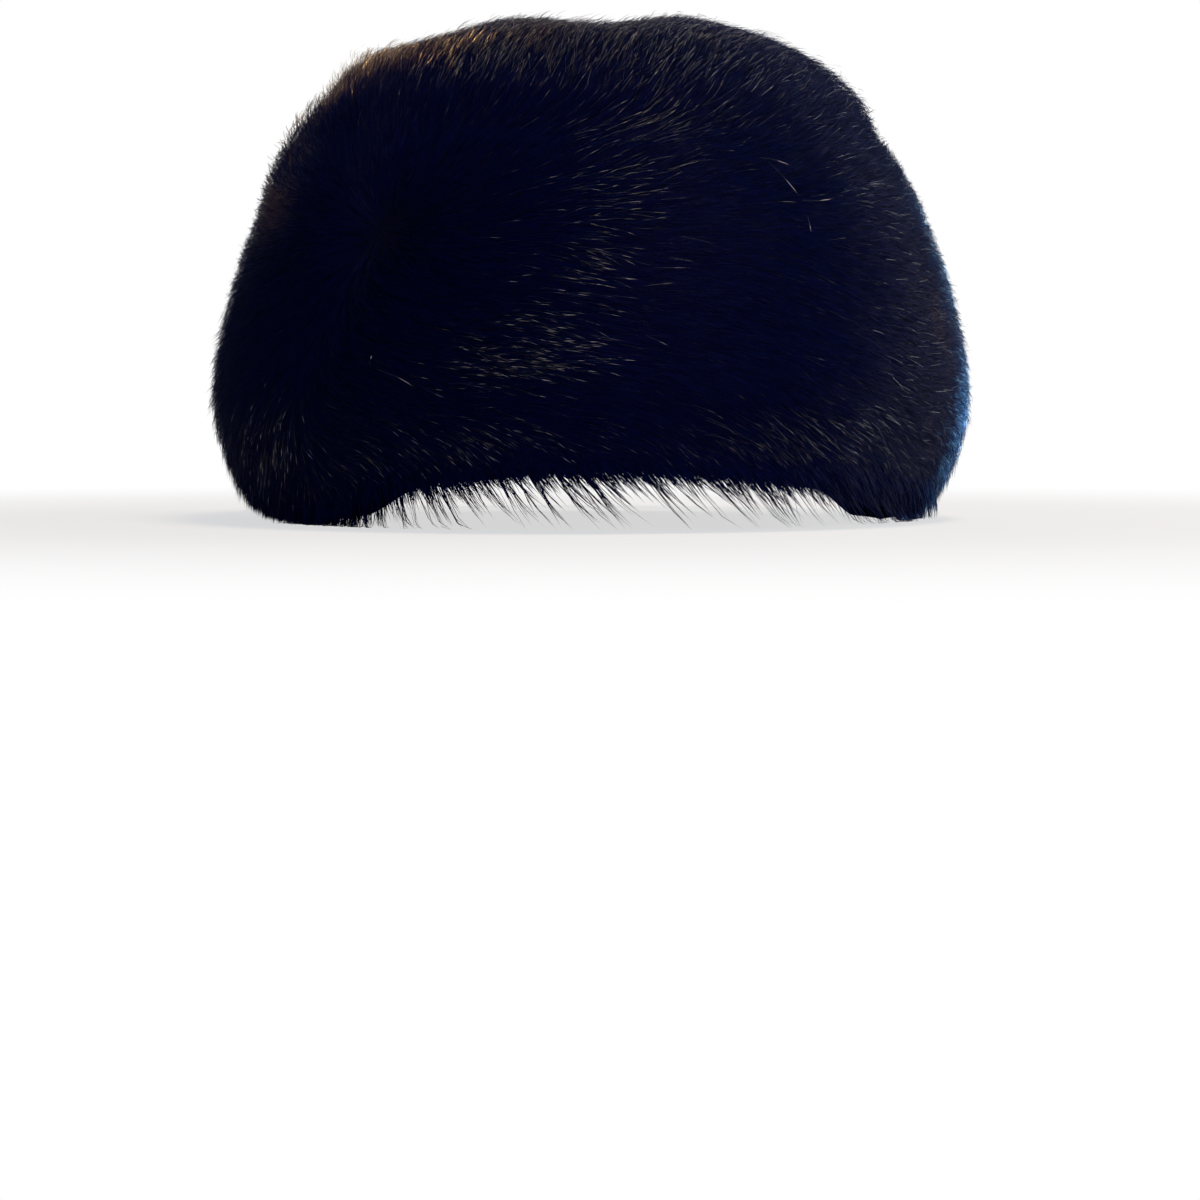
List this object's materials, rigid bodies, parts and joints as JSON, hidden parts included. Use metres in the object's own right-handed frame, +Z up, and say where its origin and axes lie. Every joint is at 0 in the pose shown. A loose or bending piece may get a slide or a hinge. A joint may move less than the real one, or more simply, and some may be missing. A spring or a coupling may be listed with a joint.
{
  "type": "fur hat",
  "caption": "Soft dome-shaped hat of deep black fur: a crown and a rolled side band over a thin hollow cap with an oval head opening.",
  "frame": {"origin": "on the surface the hat rests on, below the middle of its bounding box", "axes": "+Z up through the crown, -Y towards the front of the hat, +X towards the right as seen from the front"},
  "size_m": [0.199, 0.2482, 0.1331],
  "materials": {
    "fur": "glossy deep fur, long black guard hairs over dense underfur",
    "cap": "matt black cloth"
  },
  "bodies": {
    "root": {"cap": "cap", "crown_fur": "fur", "side_band_fur": "fur"}
  },
  "joints": []
}
